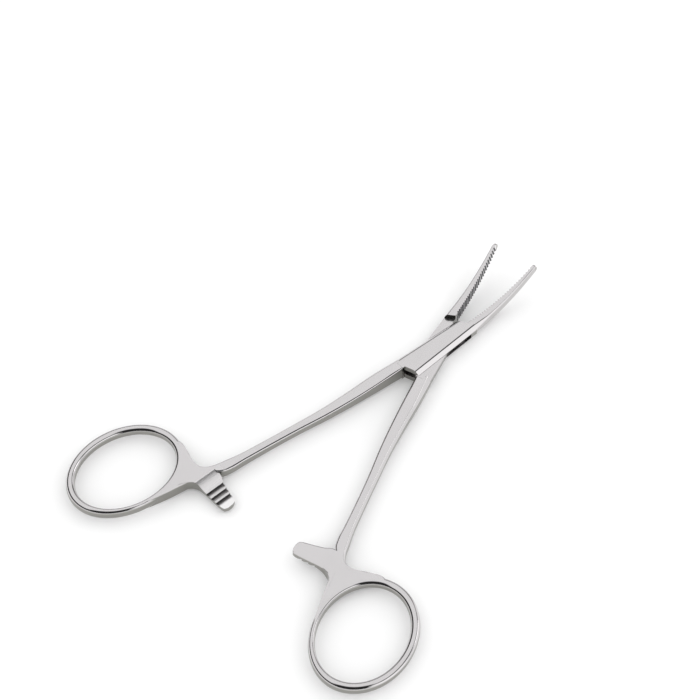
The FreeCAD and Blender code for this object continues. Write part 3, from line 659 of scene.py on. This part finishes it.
def steel(name, side, low):
    """Satin where the surface lies flat and buffed where it stands steep; steep sides get painted shade.

    The biting face is bright, with painted shade on the groove flanks that face back. The toothed face is
    left as it was ground, with painted shade on the steep flanks between the teeth, and the arm's tip is
    painted near white as a highlight.
    """
    material = bpy.data.materials.new(name)
    net = Net(material)
    turn = side * REST_OPENING / 2
    place = net.node("ShaderNodeTexCoord")
    own = [net.node("ShaderNodeVectorRotate", {"rotation_type": "Z_AXIS"}, Vector=net.out(place, kind),
                    Angle=-turn) for kind in ("Object", "Normal")]
    at, facing = (net.node("ShaderNodeSeparateXYZ", None, Vector=net.out(made)) for made in own)
    along, aside = net.out(at, "X"), net.out(at, "Y") * float(side)
    upward, forward = net.out(facing, "Z"), net.out(facing, "X")
    # Painted shade mask: 0 on steep sides, which then take the darker side colour, and 1 on flats.
    flat = rising(upward.size(), 0.25, 3.5)
    satin = rising(upward.size(), 0.95, 25.0)
    lines = net.node("ShaderNodeMapping", None, Vector=net.out(own[0]),
                     Scale=(GRAIN_ALONG, GRAIN_ACROSS, GRAIN_ACROSS))
    grain = net.node("ShaderNodeTexNoise", None, Vector=net.out(lines, "Vector"), Scale=1.0, Detail=3.0,
                     Roughness=0.6)
    spread = net.node("ShaderNodeTexNoise", None, Vector=net.out(place, "Object"), Scale=WEAR_SCALE,
                      Detail=3.0, Roughness=0.55)
    grit = net.node("ShaderNodeTexNoise", None, Vector=net.out(place, "Object"), Scale=SPECK_SCALE,
                    Detail=2.0, Roughness=0.6)
    wear, brushed, speck = (net.out(noise, "Fac") for noise in (spread, grain, grit))
    jaw = between(along, JAW_FROM, JAW_TO, 0.0002)
    bite = jaw * rising(net.out(facing, "Y") * float(-side), 0.35, 5.0)
    # Painted shade on the biting face's groove flanks that face back towards the pin.
    groove_painted_shade = bite * rising(-1.0 * forward, 0.30, 6.0)
    arm = (between(along, ARM_AT[0] - ARM_LENGTH[0], ARM_AT[0] + ARM_LENGTH[0], 0.0003)
           * between(aside, ARM_AT[1] - ARM_LENGTH[1], ARM_AT[1] + ARM_LENGTH[1], 0.0003))
    toothed = arm * rising(upward * (1.0 if low else -1.0), 0.35, 5.0)
    # Painted highlight: the arm's tip beyond the teeth is coloured near white.
    tip = toothed * rising(aside, ARM_TIP, 10000.0)
    # Painted shade on the steep flanks between the arm's teeth.
    notch_painted_shade = arm * between(aside, TEETH_FROM, ARM_TIP, 0.0001) * ((0.8 - upward.size()) * 8.0).clamp(0.0, 0.8)
    notch_painted_shade = notch_painted_shade * (1.0 - (forward.size() * 3.0).clamp(0.0, 1.0))
    rough = (ROUGH_BUFFED + ROUGH_SATIN * satin + 0.05 * (wear - 0.5) + 0.06 * satin * (brushed - 0.5)
             + 0.2 * toothed + 0.25 * bite).clamp(0.04, 0.6)
    # Painted shade darkens the steep sides, much less on the jaw, whose sides are painted lighter; the wear
    # noise varies the tone at random.
    painted_shade_and_wear = (flat + 0.7 * jaw + 0.2 * (wear - 0.5)).clamp(0.0, 1.0)
    tint = None
    # The colour is built in turn: painted side shade, the ground toothed face, the painted tip highlight,
    # painted shade between the teeth, the bright biting face, and painted shade on its groove flanks.
    for factor, first, second in ((painted_shade_and_wear, STEEL_SIDE_PAINTED_SHADE, STEEL_FLAT),
                                  (toothed * (0.55 + 0.9 * (speck - 0.5)), None, STEEL_GROUND),
                                  (tip, None, STEEL_TIP_PAINTED_HIGHLIGHT), (notch_painted_shade, None, GROOVE_SHADE),
                                  (bite, None, STEEL_GROUND), (groove_painted_shade, None, GROOVE_SHADE)):
        mix = net.node("ShaderNodeMix", {"data_type": "RGBA"})
        net.tree.links.new(factor.socket, mix.inputs[0])
        if tint is None:
            mix.inputs[6].default_value = first
        else:
            net.tree.links.new(tint.socket, mix.inputs[6])
        mix.inputs[7].default_value = second
        tint = net.out(mix, 2)
    height = brushed + 2.5 * toothed * speck
    bump = net.node("ShaderNodeBump", None, Strength=BUMP_STRENGTH, Distance=BUMP_HEIGHT,
                    Height=height)
    shader = net.node("ShaderNodeBsdfPrincipled", None, Base_Color=tint, Roughness=rough,
                      Metallic=1.0, Normal=net.out(bump, "Normal"))
    net.node("ShaderNodeOutputMaterial", None, Surface=net.out(shader, "BSDF"))
    return material


steel_box = steel("steel_box_half", -1, True)
steel_cross = steel("steel_cross_half", 1, False)
print("materials", steel_box.name, steel_cross.name)

# %% Finish and hang the pieces on their bodies
SHARP = math.radians(28)


def finished(piece, material, body, node):
    """Smooth over rounded places, crisp at ground edges, and riding on its body in place of the CAD node."""
    piece.data.materials.clear()
    piece.data.materials.append(material)
    piece.data.shade_smooth()
    piece.data.set_sharp_from_angle(angle=SHARP)
    even = piece.modifiers.new("even_normals", "WEIGHTED_NORMAL")
    even.keep_sharp = True
    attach(piece, body)
    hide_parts(node)


finished(box_half, steel_box, "box_lever", "box_half")
finished(cross_half, steel_cross, "cross_lever", "cross_half")
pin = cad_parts["pivot_pin"]
pin.data.materials.clear()
pin.data.materials.append(steel_box)

# %% [markdown]
# A pale floor, a pale world and one soft lamp, as for a catalogue picture. Polished steel shows what stands
# round it, so mirrored rays meet a studio: a bright ceiling, a bright wall on the right with a dark gap
# between the two, and darkness behind the camera. The gap and the dark horizon draw the thin dark lines along
# the edges of the real instrument.

# %% Floor, world and lamp
FLOOR = 3.0
floor_mesh = bpy.data.meshes.new("floor")
floor_mesh.from_pydata([(-FLOOR, -FLOOR, 0), (FLOOR, -FLOOR, 0), (FLOOR, FLOOR, 0), (-FLOOR, FLOOR, 0)],
                       [], [(0, 1, 2, 3)])
floor = bpy.data.objects.new("floor", floor_mesh)
bpy.context.scene.collection.objects.link(floor)
floor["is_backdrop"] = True
paper = bpy.data.materials.new("white_paper")
net = Net(paper)
shader = net.node("ShaderNodeBsdfPrincipled", None, Base_Color=(0.96, 0.96, 0.96, 1.0), Roughness=0.9)
net.node("ShaderNodeOutputMaterial", None, Surface=net.out(shader, "BSDF"))
floor_mesh.materials.append(paper)

world = bpy.data.worlds.new("studio")
bpy.context.scene.world = world
net = Net(world)
rays = net.node("ShaderNodeLightPath")
toward = net.node("ShaderNodeTexCoord")
axes = net.node("ShaderNodeSeparateXYZ", None, Vector=net.out(toward, "Generated"))
east, north, up = (net.out(axes, name) for name in "XYZ")
right = east * math.cos(HEADING) - north * math.sin(HEADING)
ahead = east * math.sin(HEADING) + north * math.cos(HEADING)
ceiling = rising(up, 0.48, 9.0)
behind = rising(-1.0 * ahead - 0.7 * right.size(), 0.05, 5.0) * falling(up, 0.99, 9.0)
wall = rising(right - 0.10 * ahead, 0.45, 6.0) * rising(up, -0.06, 14.0)
front = rising(ahead, 0.75, 6.0) * 0.35
lit = (ceiling + front * (1.0 - ceiling)) * (1.0 - behind)
lit = lit + wall * (1.0 - lit)
gap = (1.0 - ((up - 0.62) * 5.5).size()).clamp(0.0, 0.5) * 2.0 * rising(right, 0.40, 6.0)
extra = 0.30 * wall * (-4.0 * ahead).clamp(0.0, 1.0)
studio = (0.03 + 0.97 * lit + extra) * (1.0 - 0.97 * gap)
shiny = net.node("ShaderNodeBackground", None, Color=(1.0, 1.0, 1.0, 1.0), Strength=studio)
plain = net.node("ShaderNodeBackground", None, Color=(1.0, 1.0, 1.0, 1.0), Strength=1.12)
white = net.node("ShaderNodeBackground", None, Color=(1.0, 1.0, 1.0, 1.0), Strength=1.0)
first = net.node("ShaderNodeMixShader", None, Fac=net.out(rays, "Is Glossy Ray"), i1=net.out(plain),
                 i2=net.out(shiny))
second = net.node("ShaderNodeMixShader", None, Fac=net.out(rays, "Is Camera Ray"), i1=net.out(first),
                  i2=net.out(white))
net.node("ShaderNodeOutputWorld", None, Surface=net.out(second))


def lamp(name, spot, size, power):
    """A square soft lamp that looks at the lock."""
    data = bpy.data.lights.new(name, "AREA")
    data.shape = "SQUARE"
    data.size = size
    data.energy = power
    thing = bpy.data.objects.new(name, data)
    thing.location = spot
    thing.rotation_mode = "QUATERNION"
    thing.rotation_quaternion = (AIM - Vector(spot)).to_track_quat("-Z", "Y")
    bpy.context.scene.collection.objects.link(thing)


lamp("side_softbox", (0.55, -0.35, 0.40), 0.30, 0.3)
bpy.context.scene.view_settings.view_transform = "Standard"
print("stage set")

# %% Measure the sizes and finish
low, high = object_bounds()
